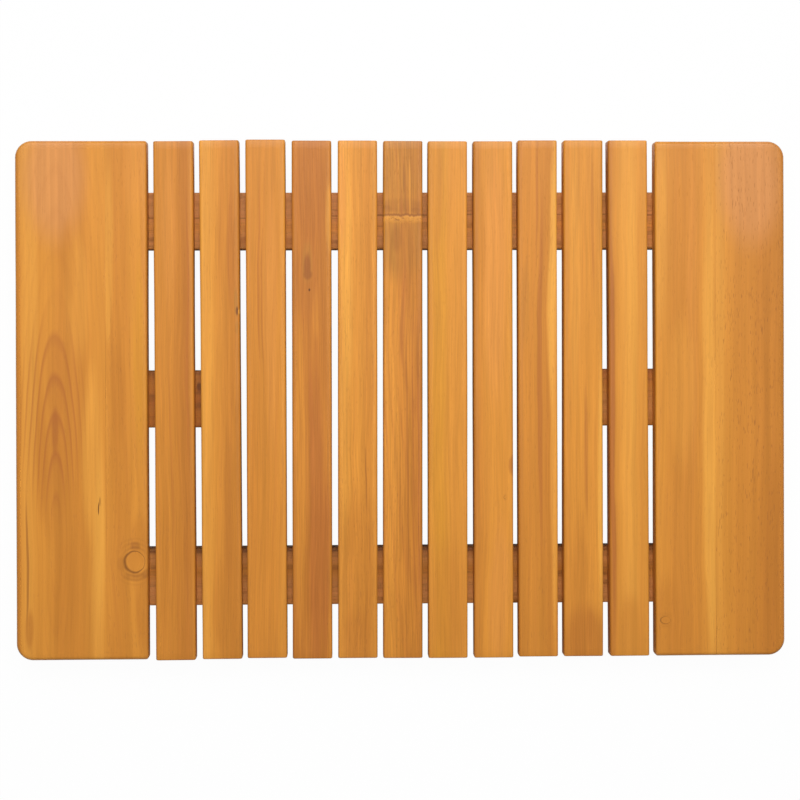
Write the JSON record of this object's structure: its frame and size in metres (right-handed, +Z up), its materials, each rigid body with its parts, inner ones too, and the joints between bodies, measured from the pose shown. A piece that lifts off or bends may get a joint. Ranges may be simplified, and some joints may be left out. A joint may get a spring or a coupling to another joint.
{
  "type": "bath mat",
  "caption": "Rigid slatted wooden bath mat: wide end boards and narrow slats with drainage gaps, screwed to rails and cleats on rubber feet.",
  "frame": {"origin": "on the floor, under the middle of the mat", "axes": "+X along the mat across all the boards, towards the end board with the narrower outer stave; +Y along the boards; +Z up"},
  "size_m": [0.556, 0.374, 0.032],
  "materials": {
    "wood_honey": "satin varnish",
    "wood_amber": "satin varnish",
    "wood_batten": "satin varnish",
    "zinc_steel": "zinc plated",
    "foot_rubber": "matt moulded"
  },
  "bodies": {
    "root": {"left_outer_stave": "wood_honey", "left_inner_stave": "wood_amber", "right_inner_stave": "wood_honey", "right_outer_stave": "wood_amber", "slat_01": "wood_amber", "slat_02": "wood_honey", "slat_03": "wood_honey", "slat_04": "wood_amber", "slat_05": "wood_honey", "slat_06": "wood_amber", "slat_07": "wood_honey", "slat_08": "wood_honey", "slat_09": "wood_amber", "slat_10": "wood_honey", "slat_11": "wood_honey", "front_rail": "wood_batten", "rear_rail": "wood_batten", "left_cleat": "wood_batten", "right_cleat": "wood_batten", "front_rail_screws": "zinc_steel", "rear_rail_screws": "zinc_steel", "left_cleat_screws": "zinc_steel", "right_cleat_screws": "zinc_steel", "foot_front_1": "foot_rubber", "foot_front_2": "foot_rubber", "foot_front_3": "foot_rubber", "foot_front_4": "foot_rubber", "foot_rear_1": "foot_rubber", "foot_rear_2": "foot_rubber", "foot_rear_3": "foot_rubber", "foot_rear_4": "foot_rubber", "foot_left": "foot_rubber", "foot_right": "foot_rubber", "foot_washers": "zinc_steel", "foot_screws": "zinc_steel"}
  },
  "joints": []
}
